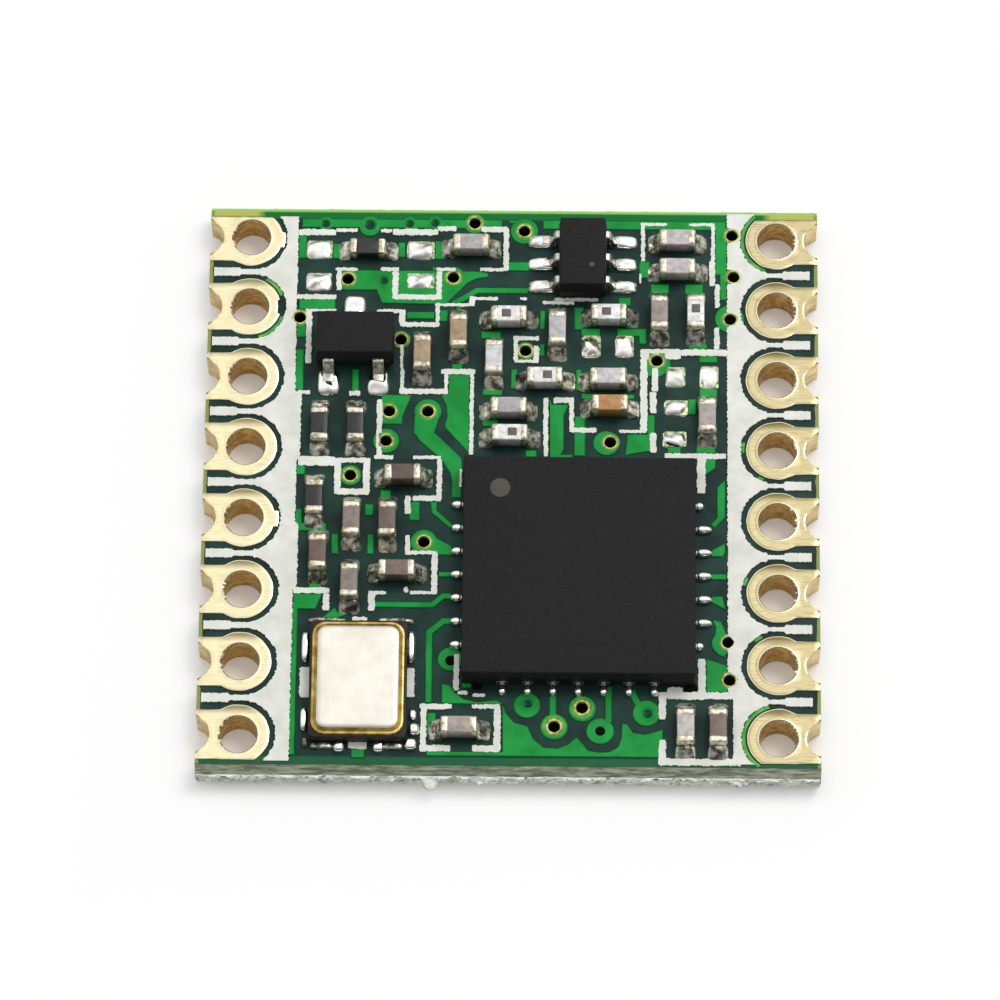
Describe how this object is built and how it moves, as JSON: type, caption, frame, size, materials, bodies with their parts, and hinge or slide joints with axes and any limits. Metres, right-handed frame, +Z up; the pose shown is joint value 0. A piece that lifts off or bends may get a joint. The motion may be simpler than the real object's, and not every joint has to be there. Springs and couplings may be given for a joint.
{
  "type": "lora module",
  "caption": "Square surface-mount radio module: green castellated board with gold edge terminals, black radio chip, metal-lidded crystal and small chip parts.",
  "frame": {"origin": "centre of the underside, on the plane of the bottom pads", "axes": "+Z up out of the component side, +X right and +Y to the back edge, so the terminals run along Y at the left and right edges"},
  "size_m": [0.016, 0.016, 0.0019],
  "materials": {
    "board_mask": "semi-gloss green solder mask on glass-fibre laminate",
    "copper_traces": "bright green: mask over raised copper",
    "white_print": "matt white legend ink, slightly ragged",
    "gold_plating": "gold over copper, finely brushed",
    "solder": "bright reflowed solder",
    "black_moulding": "matt black moulding compound",
    "tinned_lead": "tinned leads",
    "crystal_base": "dark ceramic",
    "crystal_ring": "gold-plated seam ring",
    "crystal_lid": "pale nickel lid",
    "resistor": "black glaze with tinned ends",
    "inductor": "white glaze with a dark mark and tinned ends",
    "capacitor": "grey to brown ceramic with tinned ends"
  },
  "bodies": {
    "root": {"board": "board_mask", "copper_traces": "copper_traces", "white_print": "white_print", "solder": "solder", "radio_chip_body": "black_moulding", "radio_chip_leads": "tinned_lead", "crystal_base": "crystal_base", "crystal_seam_ring": "crystal_ring", "crystal_lid": "crystal_lid", "transistor_body": "black_moulding", "transistor_leads": "tinned_lead", "antenna_switch_body": "black_moulding", "antenna_switch_leads": "tinned_lead", "terminal_1": "gold_plating", "terminal_2": "gold_plating", "terminal_3": "gold_plating", "terminal_4": "gold_plating", "terminal_5": "gold_plating", "terminal_6": "gold_plating", "terminal_7": "gold_plating", "terminal_8": "gold_plating", "terminal_9": "gold_plating", "terminal_10": "gold_plating", "terminal_11": "gold_plating", "terminal_12": "gold_plating", "terminal_13": "gold_plating", "terminal_14": "gold_plating", "terminal_15": "gold_plating", "terminal_16": "gold_plating", "resistor_1": "resistor", "resistor_2": "resistor", "resistor_3": "resistor", "resistor_4": "resistor", "inductor_1": "inductor", "inductor_2": "inductor", "inductor_3": "inductor", "inductor_4": "inductor", "inductor_5": "inductor", "capacitor_1": "capacitor", "capacitor_2": "capacitor", "capacitor_3": "capacitor", "capacitor_4": "capacitor", "capacitor_5": "capacitor", "capacitor_6": "capacitor", "capacitor_7": "capacitor", "capacitor_8": "capacitor", "capacitor_9": "capacitor", "capacitor_10": "capacitor", "capacitor_11": "capacitor", "capacitor_12": "capacitor", "capacitor_13": "capacitor", "capacitor_14": "capacitor", "capacitor_15": "capacitor", "capacitor_16": "capacitor", "capacitor_17": "capacitor", "capacitor_18": "capacitor", "capacitor_19": "capacitor", "capacitor_20": "capacitor", "capacitor_21": "capacitor"}
  },
  "joints": []
}
